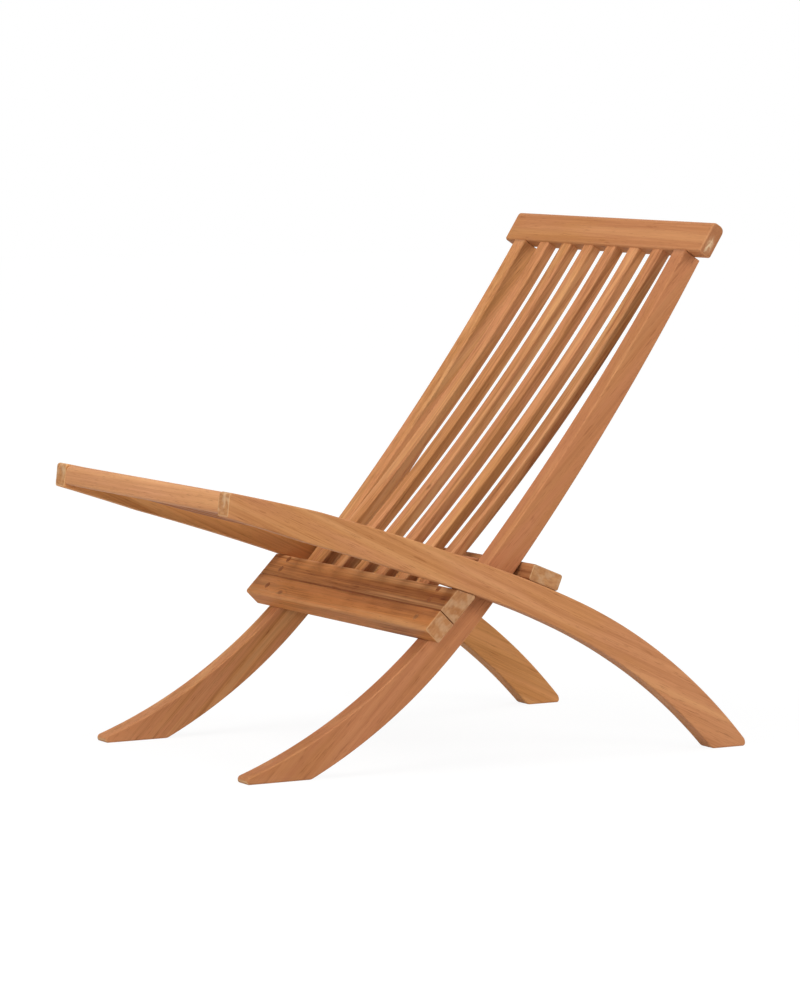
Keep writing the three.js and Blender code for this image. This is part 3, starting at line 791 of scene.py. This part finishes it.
def teak_finish(name, light, dark, gold, ring_pitch=0.009, contrast=1.0, mottle=0.5, pale=0.3,
                pale_spot=None, jointed_and_painted_light=False, rim=None, end_shade=0.0):
    """Sanded, unvarnished teak: growth rings, fibre streaks, pores, cut ends, and edges worn paler with a
    painted highlight; on the front crossbar, painted light along the boards.
    """
    material, nodes, shader = new_material(name)
    here = nodes.attribute("grain")["Vector"]
    place = nodes.vector("ADD", here, nodes.attribute("board")["Vector"])
    phase, heart = growth_rings(nodes, here, place, ring_pitch)
    patch = nodes.noise(place, *PATCH)
    late = nodes.times(
        nodes.ramp(phase, *LATE_WOOD_BEGINS), nodes.ramp(phase, *LATE_WOOD_ENDS),
        nodes.ramp(patch, *LATE_WOOD_PATCHES))
    fibre = nodes.noise(place, *FIBRE)
    streak = nodes.noise(place, *STREAK)
    band = nodes.noise(place, *BAND)
    drift = nodes.noise(place, *DRIFT)
    pores = nodes.times(
        nodes.ramp(nodes.noise(place, *PORE), *PORE_MARKS), nodes.ramp(phase, *PORES_IN_RING))
    flecks = nodes.ramp(nodes.noise(place, *FLECK), *FLECK_MARKS)

    # How dark the wood is
    depth = nodes.math("MULTIPLY_ADD", late, LATE_WOOD_DEPTH * contrast, PLAIN_DEPTH)
    for pattern, weight in (
            (fibre, FIBRE_DEPTH), (streak, STREAK_DEPTH), (band, BAND_DEPTH), (drift, mottle)):
        swing = nodes.math("SUBTRACT", pattern, 0.5)
        depth = nodes.math("MULTIPLY_ADD", swing, weight * contrast, depth)
    depth = nodes.math("MULTIPLY_ADD", nodes.attribute("tone")["Fac"], TONE_DEPTH, depth)
    depth = nodes.math("MULTIPLY_ADD", flecks, FLECK_DEPTH, depth)
    # Painted light along the front crossbar: lighter towards its far end, darker from the middle to its
    # near end
    if jointed_and_painted_light:
        depth = nodes.math("ADD", depth, nodes.ramp(nodes.split(here)["X"], *CROSSBAR_PAINTED_LIGHT))
    depth = nodes.math("ADD", depth, 0.0, clamp=True)

    # Its colour, and what lies over it
    golden = nodes.ramp(nodes.times(nodes.math("ADD", drift, band), 0.5), *GOLDEN_PARTS)
    sheen = nodes.ramp(nodes.noise(place, *SHEEN), *SHEEN_BANDS)
    colour = nodes.blend(depth, linear(*light), linear(*dark))
    colour = nodes.tint(colour, golden, GOLDEN_SHARE, nodes.blend(depth, linear(*gold), linear(*dark)))
    colour = nodes.tint(colour, sheen, SHEEN_SHARE * contrast, SHEEN_PALE)
    colour = nodes.tint(colour, pores, PORE_SHARE, PORE_BROWN)
    colour = nodes.tint(colour, heart, KNOT_SHARE, KNOT_BROWN)
    if jointed_and_painted_light:
        colour = nodes.tint(colour, joint_stain(nodes, here, streak), STAIN_SHARE, STAIN_BROWN)
    if rim:
        edge = nodes.ramp(nodes.length(here, OVER_THE_FACE), rim * RIM_START, rim)
        colour = nodes.tint(colour, edge, RIM_SHARE, RIM_BROWN)
    colour = ends_and_edges(nodes, here, place, colour, patch, pale, pale_spot, end_shade)

    rough = nodes.math("MULTIPLY_ADD", fibre, FIBRE_ROUGHNESS, SANDED_ROUGHNESS)
    rough = nodes.math("MULTIPLY_ADD", late, LATE_WOOD_POLISH, rough)
    relief = nodes.math("MULTIPLY_ADD", late, LATE_WOOD_RELIEF, fibre)
    relief = nodes.math("MULTIPLY_ADD", pores, PORE_RELIEF, relief)
    dress(nodes, shader, colour, rough, relief, RELIEF_HEIGHT, RELIEF_STRENGTH)
    shader.inputs["Specular IOR Level"].default_value = OILY_SHINE
    return material


# Turned metal and planed dowel
SCRATCH_MARKS = (0.3, 0.7)
SCRATCH_DARK = 0.6
SCRATCH_SHARE = 0.5
SCRATCH_ROUGHNESS = 0.2
SCRATCH_HEIGHT = 0.0001
SCRATCH_STRENGTH = 0.3


def plain_finish(name, colour, roughness, metallic=0.0):
    """Fine scratches in colour and roughness."""
    material, nodes, shader = new_material(name)
    scratch = nodes.noise(nodes.add("ShaderNodeTexCoord").outputs["Object"], *SCRATCH)
    red, green, blue, _ = colour
    scratched = (red * SCRATCH_DARK, green * SCRATCH_DARK, blue * SCRATCH_DARK, 1.0)
    shade = nodes.tint(colour, nodes.ramp(scratch, *SCRATCH_MARKS), SCRATCH_SHARE, scratched)
    rough = nodes.math("MULTIPLY_ADD", scratch, SCRATCH_ROUGHNESS, roughness - SCRATCH_ROUGHNESS / 2)
    dress(nodes, shader, shade, rough, scratch, SCRATCH_HEIGHT, SCRATCH_STRENGTH)
    shader.inputs["Metallic"].default_value = metallic
    return material


# The chair's finishes: light, dark and golden colours as seen on a screen, then what sets the board apart
TEAK = teak_finish("teak", (202, 137, 91), (136, 76, 38), (208, 147, 84))
TEAK_CREST = teak_finish(
    "teak_crest", (201, 138, 91), (138, 78, 40), (208, 147, 84), ring_pitch=0.0042, contrast=0.45,
    pale=0.9, pale_spot=(0.0135, -0.0105, 0.013, 0.0055), end_shade=0.8)
TEAK_REDDISH = teak_finish("teak_reddish", (185, 121, 80), (122, 65, 34), (187, 126, 75), contrast=0.4)
TEAK_PINKISH = teak_finish("teak_pinkish", (210, 150, 106), (158, 95, 56), (207, 148, 96), contrast=0.7)
# A darker brown for the rear crossbar: partly the bar's own wood, partly painted shade for its front face
# in the back rail's shadow
TEAK_BROWN_PAINTED_SHADE = teak_finish("teak_brown_painted_shade", (178, 114, 70), (106, 56, 30), (176, 113, 62))
TEAK_SEAT_RAIL = teak_finish(
    "teak_seat_rail", (196, 134, 90), (143, 82, 42), (202, 142, 82), ring_pitch=0.011, contrast=0.72,
    pale=0.6)
# The front crossbar's finish, with its stained joint and painted light along the boards
TEAK_CROSSBAR = teak_finish(
    "teak_crossbar", (202, 131, 75), (112, 54, 24), (202, 136, 76), ring_pitch=0.012, contrast=1.05,
    mottle=1.1, jointed_and_painted_light=True, end_shade=0.25)
# A lighter, more golden copy of the seat rail's finish: painted light on the far seat rail's shaded inner
# face
TEAK_GOLDEN_PAINTED_LIGHT = teak_finish(
    "teak_golden_painted_light", (216, 150, 93), (152, 88, 44), (219, 155, 88), ring_pitch=0.011, contrast=0.72,
    pale=0.6)
TEAK_PLUG = teak_finish(
    "teak_plug", (182, 112, 62), (118, 62, 30), (182, 112, 62), ring_pitch=0.003,
    rim=PLUG_RADIUS * METRES)
BEECH = plain_finish("beech_dowel", linear(217, 185, 140), 0.7)
BRASS = plain_finish("brass_screw", linear(200, 166, 90), 0.35, metallic=1.0)


# Rails, their fibre along a chord between two places on the centre line
ACROSS = Vector((1, 0, 0))
CROSSING = Vector((0, 0))
BACK_CHORD = (400, -380)
SEAT_CHORD = (330, -380)
BACK_X = BACK_RAIL["outer_face"] - RAIL_THICKNESS / 2
SEAT_X = SEAT_RAIL["outer_face"] - RAIL_THICKNESS / 2


def chord_fibre(rail, chord):
    head, leg = chord
    return side_direction(rail_place(rail, head)[0] - rail_place(rail, leg)[0])


# The far seat rail gets the lighter copy of the seat rail's finish, and board number 22 for a light tone:
# painted light on its shaded inner face
for hand, side, back_material, back_number, seat_material, seat_number in (
        ("left", 1, TEAK_REDDISH, 11, TEAK_SEAT_RAIL, 16),
        ("right", -1, TEAK, 33, TEAK_GOLDEN_PAINTED_LIGHT, 22)):
    make_board(f"back_rail_{hand}", "back_frame", "teak_rail", back_material, BACK_RAIL_OUTLINE,
               RAIL_THICKNESS, side * BACK_X, chord_fibre(BACK_RAIL, BACK_CHORD), ACROSS, back_number,
               CROSSING)
    make_board(f"seat_rail_{hand}", "seat_frame", "teak_rail", seat_material, SEAT_RAIL_OUTLINE,
               RAIL_THICKNESS, side * SEAT_X, chord_fibre(SEAT_RAIL, SEAT_CHORD), ACROSS, seat_number,
               CROSSING)

# Cross members, each measured from a place along its bench
CREST_OUTLINE = round_corners(
    CREST.rectangle(0, CREST_HEIGHT, -CREST_SET_BACK - CREST_THICKNESS, -CREST_SET_BACK), crest_corners)
UPPER_OUTLINE = round_corners(
    clip(FRONT_BAR.rectangle(-BOARD_THICKNESS, UPPER_BOARD_WIDTH, 0, BOARD_THICKNESS),
         UNDERSIDE_POINT, UNDERSIDE_NORMAL),
    board_corners)
LOWER_OUTLINE = round_corners(
    FRONT_BAR.rectangle(LOWER_BOARD_START, LOWER_BOARD_START + LOWER_BOARD_WIDTH, 0, BOARD_THICKNESS),
    board_corners)
REAR_OUTLINE = round_corners(
    REAR_BAR.rectangle(0, REAR_BAR_WIDTH, 0, REAR_BAR_THICKNESS), lambda corner: CORNER_RADIUS)
FRONT_OUTLINE = round_corners(
    clip(FRONT_RAIL.rectangle(-FRONT_RAIL_HEIGHT, FRONT_RAIL_DEPTH, -FRONT_RAIL_HEIGHT, 0),
         SEAT_FRONT, REARWARD),
    front_rail_corners)
FRONT_RAIL_LENGTH = 2 * (SEAT_RAIL["outer_face"] - RAIL_THICKNESS - FIT_GAP)
for node, body, material, outline, length, bench, along, number, extras in (
        ("crest_rail", "back_frame", TEAK_CREST, CREST_OUTLINE, CREST_LENGTH, CREST, 0, 23,
         {"rounding": CREST_END_ROUNDING}),
        ("front_crossbar_upper", "back_frame", TEAK_CROSSBAR, UPPER_OUTLINE, CROSSBAR_LENGTH, FRONT_BAR,
         UPPER_BOARD_WIDTH, 29, {}),
        ("front_crossbar_lower", "back_frame", TEAK_CROSSBAR, LOWER_OUTLINE, CROSSBAR_LENGTH, FRONT_BAR,
         LOWER_BOARD_START, 22, {"knot": LOWER_BOARD_KNOT}),
        # The rear crossbar's darker finish and board number 39, which gives a dark tone, are partly painted
        # shade
        ("rear_crossbar", "seat_frame", TEAK_BROWN_PAINTED_SHADE, REAR_OUTLINE, CROSSBAR_LENGTH, REAR_BAR, 0, 39, {}),
        ("seat_front_rail", "seat_frame", TEAK_PINKISH, FRONT_OUTLINE, FRONT_RAIL_LENGTH, FRONT_RAIL,
         0, 43, {})):
    make_board(node, body, "teak", material, outline, length, 0.0, ACROSS,
               side_direction(bench.along), number, bench.point(along, 0), **extras)


# Trees of geometry nodes

def new_tree(name, sizes):
    """A tree of geometry nodes with an input for each size, its nodes, and its inputs by name."""
    tree = bpy.data.node_groups.new(name, "GeometryNodeTree")
    tree.is_modifier = True
    for size, kind in sizes.items():
        tree.interface.new_socket(size, in_out="INPUT", socket_type=f"NodeSocket{kind}")
    tree.interface.new_socket("Geometry", in_out="OUTPUT", socket_type="NodeSocketGeometry")
    nodes = Nodes(tree)
    return tree, nodes, nodes.add("NodeGroupInput").outputs


def mark_boards(nodes, instances, seed):
    """Gives each instance its own place in the tree it was sawn from."""
    place = nodes.add("FunctionNodeRandomValue", data_type="FLOAT_VECTOR")
    nodes.feed(place, {"Min": NEAREST_BOARD, "Max": FARTHEST_BOARD, "Seed": seed})
    return nodes.keep(instances, "board", place.outputs[0], domain="INSTANCE")


def end_tree(nodes, geometry, material):
    finished = nodes.shape("GeometryNodeSetMaterial", geometry, {"Material": material})
    nodes.join(finished, nodes.add("NodeGroupOutput").inputs["Geometry"])


def grow(name, tree, inputs, spots=()):
    """A plain object grown by a tree, whose inputs are set by their sockets' identifiers."""
    mesh = bpy.data.meshes.new(name)
    mesh.from_pydata(spots, [], [])
    piece = in_view(bpy.data.objects.new(name, mesh))
    modifier = piece.modifiers.new("grow", "NODES")
    modifier.node_group = tree
    for socket in tree.interface.items_tree:
        if socket.in_out == "INPUT" and socket.name in inputs:
            modifier[socket.identifier] = inputs[socket.name]
    even_normals(piece)
    return settle(piece)


# Slats: a rounded bar swept along an arc, repeated across the chair

# How far a slat's pale edges reach in from the rounding: wear with a painted highlight
WEAR_AND_HIGHLIGHT_SPREAD = 2.2
TONE_SEED_STEP = 7.0
SAME_SLAT = 0.1  # whole numbers nearer than this are the same


def slat_arc(start, end, dish):
    """The arc between two points that bends away from the sitter: its hub, radius and way out."""
    chord = end - start
    radius = chord.length / 2 / math.sin(dish / 2)
    towards_sitter = Vector((chord.y, -chord.x)).normalized()
    if towards_sitter.y < 0:
        towards_sitter.negate()
    hub = start.lerp(end, 0.5) + towards_sitter * radius * math.cos(dish / 2)
    return hub, radius, -towards_sitter


def slat_bar(nodes, sizes):
    """One slat: an arc in the side view, swept by a rectangle that remembers where it is rounded."""
    arc = nodes.add("GeometryNodeCurveArc")
    nodes.feed(arc, {"Resolution": SLAT_ARC_POINTS, "Radius": sizes["Radius"],
                     "Start Angle": sizes["First Angle"], "Sweep Angle": sizes["Sweep"]})
    upright = nodes.shape("GeometryNodeTransform", arc.outputs["Curve"], {
        "Translation": sizes["Hub"], "Rotation": (math.pi / 2, 0.0, math.pi / 2)})
    level = nodes.add("GeometryNodeSetCurveNormal", mode="Z_UP")
    nodes.join(upright, level.inputs["Curve"])

    section = nodes.add("GeometryNodeCurvePrimitiveQuadrilateral")
    nodes.feed(section, {"Width": sizes["Width"], "Height": sizes["Thickness"]})
    rounded = nodes.add("GeometryNodeFilletCurve", mode="POLY")
    nodes.feed(rounded, {"Curve": section.outputs["Curve"], "Count": EDGE_STEPS,
                         "Radius": sizes["Rounding"]})
    # Paler towards each rounded edge: edge wear with a painted highlight
    parts = nodes.split(nodes.vector("ABSOLUTE", nodes.position()))
    from_side = nodes.math("SUBTRACT", nodes.times(sizes["Width"], 0.5), parts["X"])
    from_face = nodes.math("SUBTRACT", nodes.times(sizes["Thickness"], 0.5), parts["Y"])
    farthest = nodes.math("DIVIDE", nodes.math("MAXIMUM", from_side, from_face), sizes["Rounding"])
    wear_and_highlight = nodes.math("SUBTRACT", 1.0, farthest, clamp=True)
    wear_and_highlight = nodes.math("MULTIPLY", wear_and_highlight, WEAR_AND_HIGHLIGHT_SPREAD, clamp=True)
    worn_and_highlit = nodes.keep(rounded.outputs["Curve"], "edge_wear_and_highlight", wear_and_highlight, kind="FLOAT")

    bar = nodes.add("GeometryNodeCurveToMesh")
    nodes.feed(bar, {"Curve": level.outputs["Curve"], "Profile Curve": worn_and_highlit, "Fill Caps": True})
    return bar.outputs["Mesh"]


def slat_grain(nodes, sizes, bar):
    """Lays a slat's grain along its chord."""
    middle_angle = nodes.math("MULTIPLY_ADD", sizes["Sweep"], 0.5, sizes["First Angle"])
    turned = nodes.add("ShaderNodeVectorRotate", rotation_type="X_AXIS")
    nodes.feed(turned, {"Vector": nodes.position(), "Center": sizes["Hub"],
                        "Angle": nodes.times(middle_angle, -1.0)})
    parts = nodes.split(nodes.vector("SUBTRACT", turned.outputs[0], sizes["Hub"]))
    through = nodes.math("SUBTRACT", parts["Y"], sizes["Radius"])
    return nodes.keep(bar, "grain", nodes.combine(X=parts["Z"], Y=parts["X"], Z=through))


def slat_tree():
    """A row of slats across the chair."""
    tree, nodes, sizes = new_tree("slat row", {
        "Hub": "Vector", "Radius": "Float", "First Angle": "Float", "Sweep": "Float",
        "Width": "Float", "Thickness": "Float", "Rounding": "Float", "Count": "Int", "Pitch": "Float",
        "Seed": "Int", "Knotted": "Int", "Knot": "Vector", "Material": "Material"})
    slat = slat_grain(nodes, sizes, slat_bar(nodes, sizes))

    # The row, half of it on either side of the chair's middle
    row = nodes.add("GeometryNodeMeshLine", mode="OFFSET")
    spaces = nodes.math("MULTIPLY_ADD", sizes["Count"], -0.5, 0.5)
    nodes.feed(row, {"Count": sizes["Count"], "Offset": nodes.combine(X=sizes["Pitch"]),
                     "Start Location": nodes.combine(X=nodes.times(sizes["Pitch"], spaces))})
    slats = nodes.add("GeometryNodeInstanceOnPoints")
    nodes.feed(slats, {"Points": row.outputs["Mesh"], "Instance": slat})

    # Each slat's board, tone and knot
    marked = mark_boards(nodes, slats.outputs["Instances"], sizes["Seed"])
    tone = nodes.add("FunctionNodeRandomValue", data_type="FLOAT")
    nodes.feed(tone, {2: -1.0, 3: 1.0, "Seed": nodes.math("ADD", sizes["Seed"], TONE_SEED_STEP)})
    marked = nodes.keep(marked, "tone", tone.outputs[1], kind="FLOAT", domain="INSTANCE")
    number = nodes.add("GeometryNodeInputIndex").outputs[0]
    knotted = nodes.math("COMPARE", number, sizes["Knotted"], SAME_SLAT)
    away = nodes.math("MULTIPLY_ADD", knotted, -KNOT_AWAY, KNOT_AWAY)
    marked = nodes.keep(marked, "knot", nodes.vector("ADD", sizes["Knot"], away), domain="INSTANCE")

    real = nodes.shape("GeometryNodeRealizeInstances", marked, {})
    end_tree(nodes, nodes.shape("GeometryNodeSetShadeSmooth", real, {}), sizes["Material"])
    return tree


BACK_INNER_WIDTH = 2 * (BACK_RAIL["outer_face"] - RAIL_THICKNESS)
SLAT_PITCH = SLAT_WIDTH + (BACK_INNER_WIDTH - BACK_SLAT_COUNT * SLAT_WIDTH) / (BACK_SLAT_COUNT + 1)
BOARD_SLAT_OUT = (BOARD_THICKNESS + SLAT_THICKNESS) / 2
BOARD_TOP_HERE = solve(
    lambda along: UNDERSIDE_NORMAL.dot(FRONT_BAR.point(along, BOARD_SLAT_OUT) - UNDERSIDE_POINT),
    -UPPER_BOARD_WIDTH, UPPER_BOARD_WIDTH)
BACK_SLATS = slat_arc(
    CREST.point(SLAT_HOUSING, CREST_MIDDLE + SLAT_THICKNESS / 2),
    FRONT_BAR.point(BOARD_TOP_HERE + SLAT_HOUSING, BOARD_SLAT_OUT), BACK_DISH)
SEAT_SLATS = slat_arc(
    FRONT_RAIL.point(FRONT_RAIL_DEPTH - SLAT_HOUSING, -SEAT_SLAT_DROP),
    REAR_BAR.point(SLAT_HOUSING, (REAR_BAR_THICKNESS + SLAT_THICKNESS) / 2), SEAT_DISH)
SLAT_TREE = slat_tree()
for body, stem, count, (hub, radius, away), dish, seed, knotted, material in (
        ("back_frame", "back_slat", BACK_SLAT_COUNT, BACK_SLATS, BACK_DISH, 921, 2, TEAK),
        ("seat_frame", "seat_slat", BACK_SLAT_COUNT + 1, SEAT_SLATS, SEAT_DISH, 5, 0, TEAK_REDDISH)):
    slats = grow(f"{stem}s", SLAT_TREE, {
        "Hub": to_room(0.0, hub),
        "Radius": (radius + SLAT_THICKNESS / 2) * METRES,
        "First Angle": math.atan2(away.y, away.x) - dish / 2,
        "Sweep": dish,
        "Width": SLAT_WIDTH * METRES,
        "Thickness": SLAT_THICKNESS * METRES,
        "Rounding": EDGE_ROUNDING * METRES,
        "Count": count,
        "Pitch": SLAT_PITCH * METRES,
        "Seed": seed,
        "Knotted": knotted,
        "Knot": SLAT_KNOT,
        "Material": material,
    })
    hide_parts(*[f"{stem}_{index + 1}" for index in range(count)])
    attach(slats, body)


# Plugs over the screws: a domed round plug at each given point

def plug_tree():
    """A plug at each point, its domed end turned outwards."""
    tree, nodes, sizes = new_tree("plug set", {
        "Geometry": "Geometry", "Radius": "Float", "Length": "Float", "Proud": "Float",
        "Facing": "Vector", "Seed": "Int", "Material": "Material"})
    plug = nodes.add("GeometryNodeMeshCylinder")
    nodes.feed(plug, {"Vertices": PLUG_SIDES, "Side Segments": 1, "Fill Segments": PLUG_RINGS,
                      "Radius": sizes["Radius"], "Depth": sizes["Length"]})
    here = nodes.position()
    from_middle = nodes.math("DIVIDE", nodes.length(here, OVER_THE_FACE), sizes["Radius"])
    dome = nodes.math("SUBTRACT", 1.0, nodes.times(from_middle, from_middle))
    on_top = nodes.math("GREATER_THAN", nodes.split(here)["Z"], 0.0)
    rise = nodes.times(dome, on_top, sizes["Proud"])
    lift = nodes.math("MULTIPLY_ADD", sizes["Length"], -0.5, rise)
    domed = nodes.shape("GeometryNodeSetPosition", plug.outputs["Mesh"], {"Offset": nodes.combine(Z=lift)})

    aim = nodes.add("FunctionNodeAlignRotationToVector", axis="Z")
    nodes.feed(aim, {"Vector": sizes["Facing"]})
    placed = nodes.add("GeometryNodeInstanceOnPoints")
    nodes.feed(placed, {"Points": sizes["Geometry"], "Rotation": aim.outputs[0],
                        "Instance": nodes.keep(domed, "grain", nodes.position())})
    marked = mark_boards(nodes, placed.outputs["Instances"], sizes["Seed"])
    end_tree(nodes, nodes.shape("GeometryNodeRealizeInstances", marked, {}), sizes["Material"])
    return tree


SIDES = (("left", 1), ("right", -1))
PLUG_TREE = plug_tree()
LOWER_PLUG_PLACE = LOWER_BOARD_START + LOWER_BOARD_WIDTH / 2
for name, body, stem, bench, face, places, x, seed in (
        ("crossbar_plugs", "back_frame", "crossbar", FRONT_BAR, BOARD_THICKNESS,
         (*UPPER_PLUG_PLACES, LOWER_PLUG_PLACE), BACK_X, 11),
        ("rear_plugs", "seat_frame", "rear", REAR_BAR, REAR_BAR_THICKNESS, REAR_PLUG_PLACES, SEAT_X, 13)):
    spots = [to_room(side * x, bench.point(along, face)) for _, side in SIDES for along in places]
    plugs = grow(name, PLUG_TREE, {
        "Radius": PLUG_RADIUS * METRES,
        "Length": PLUG_LENGTH * METRES,
        "Proud": PLUG_PROUD * METRES,
        "Facing": side_direction(bench.out),
        "Seed": seed,
        "Material": TEAK_PLUG,
    }, spots)
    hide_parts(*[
        f"{stem}_{hand}_plug_{index + 1}" for hand, _ in SIDES for index in range(len(places))])
    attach(plugs, body)

# Screws and dowels keep their shape inside the wood
for name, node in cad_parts.items():
    for word, material in (("_screw_", BRASS), ("_dowel_", BEECH)):
        if word in name:
            for socket in node.material_slots:
                socket.material = material


# Floor, backdrop and light, in metres and watts

FLOOR_REACH = 14.0
FLOOR_GREY = (0.74, 0.74, 0.74, 1.0)
FLOOR_ROUGHNESS = 0.9
FLOOR_SHINE = 0.1
FLOOR_GLOW = (0.3, 2.2, 1.075, 1.16)  # from near the chair to far from it, and the strength at both
FLOOR_GLOW_SHARE = 0.85
WHITE = (1.0, 1.0, 1.0, 1.0)
BACKDROP_LIGHT = 0.09
BACKDROP_SEEN = 1.0

# Square soft lamps: place, what they point at, side and power
LAMPS = (
    ("overhead", (0.0, -0.3, 3.0), (0.0, 0.0, 0.3), 2.4, 54.0),
    ("front", (0.3, -3.0, 1.6), (0.0, 0.0, 0.35), 1.5, 43.0),
    ("near side", (2.6, 1.3, 1.3), (0.0, 0.1, 0.3), 1.3, 38.0),
    ("corner", (2.9, -1.75, 1.3), (0.0, 0.0, 0.35), 1.2, 28.0),
)


def seen_directly(nodes):
    """1 for a look straight at a surface or at its reflection, 0 for the light that it gives."""
    path = nodes.add("ShaderNodeLightPath").outputs
    seen = nodes.math("MAXIMUM", path["Is Camera Ray"], path["Is Glossy Ray"])
    return nodes.math("MAXIMUM", seen, path["Is Transmission Ray"])


def studio_floor():
    """A pale floor that looks nearly white and still takes the chair's shadow."""
    mesh = bpy.data.meshes.new("floor")
    corners = [(x * FLOOR_REACH, y * FLOOR_REACH, 0) for x, y in ((-1, -1), (1, -1), (1, 1), (-1, 1))]
    mesh.from_pydata(corners, [], [(0, 1, 2, 3)])
    material, nodes, shader = new_material("floor")
    nodes.feed(shader, {"Base Color": FLOOR_GREY, "Roughness": FLOOR_ROUGHNESS,
                        "Specular IOR Level": FLOOR_SHINE})
    glow = nodes.add("ShaderNodeEmission")
    from_chair = nodes.length(nodes.add("ShaderNodeTexCoord").outputs["Object"])
    nodes.join(nodes.ramp(from_chair, *FLOOR_GLOW), glow.inputs["Strength"])
    share = nodes.times(seen_directly(nodes), FLOOR_GLOW_SHARE)
    surface = nodes.add("ShaderNodeMixShader")
    nodes.feed(surface, {0: share, 1: shader.outputs[0], 2: glow.outputs[0]})
    nodes.join(surface.outputs[0], material.node_tree.nodes["Material Output"].inputs["Surface"])
    mesh.materials.append(material)
    in_view(bpy.data.objects.new("floor", mesh))


def studio_backdrop():
    world = bpy.data.worlds.new("studio")
    bpy.context.scene.world = world
    world.use_nodes = True
    nodes = Nodes(world.node_tree)
    strength = nodes.ramp(seen_directly(nodes), 0.0, 1.0, BACKDROP_LIGHT, BACKDROP_SEEN)
    nodes.feed(world.node_tree.nodes["Background"], {"Color": WHITE, "Strength": strength})


def soft_lamp(name, place, target, side, power):
    data = bpy.data.lights.new(name, "AREA")
    data.shape = "SQUARE"
    data.size = side
    data.energy = power
    lamp = in_view(bpy.data.objects.new(name, data))
    lamp.location = place
    lamp.rotation_euler = (Vector(target) - Vector(place)).to_track_quat("-Z", "Y").to_euler()


studio_floor()
studio_backdrop()
for lamp_row in LAMPS:
    soft_lamp(*lamp_row)


# Camera: the photograph's, a little above the seat and towards the chair's near front corner

CAMERA_PLACE = (4.85066, -2.78583, 0.85387)
CAMERA_AZIMUTH = math.radians(-29.86595)
CAMERA_ELEVATION = math.radians(5.50053)
CAMERA_ROLL = math.radians(0.09239)
SENSOR_HEIGHT = 36.0
LENS = 157.335


def photo_camera():
    data = bpy.data.cameras.new("camera")
    data.sensor_fit = "VERTICAL"
    data.sensor_height = SENSOR_HEIGHT
    data.lens = LENS
    camera = in_view(bpy.data.objects.new("camera", data))
    camera.matrix_world = (
        Matrix.Translation(CAMERA_PLACE)
        @ Matrix.Rotation(CAMERA_AZIMUTH + math.pi / 2, 4, "Z")
        @ Matrix.Rotation(math.pi / 2 - CAMERA_ELEVATION, 4, "X")
        @ Matrix.Rotation(CAMERA_ROLL, 4, "Z"))
    bpy.context.scene.camera = camera


photo_camera()
bpy.context.scene.view_settings.view_transform = "Standard"

bpy.context.view_layer.update()
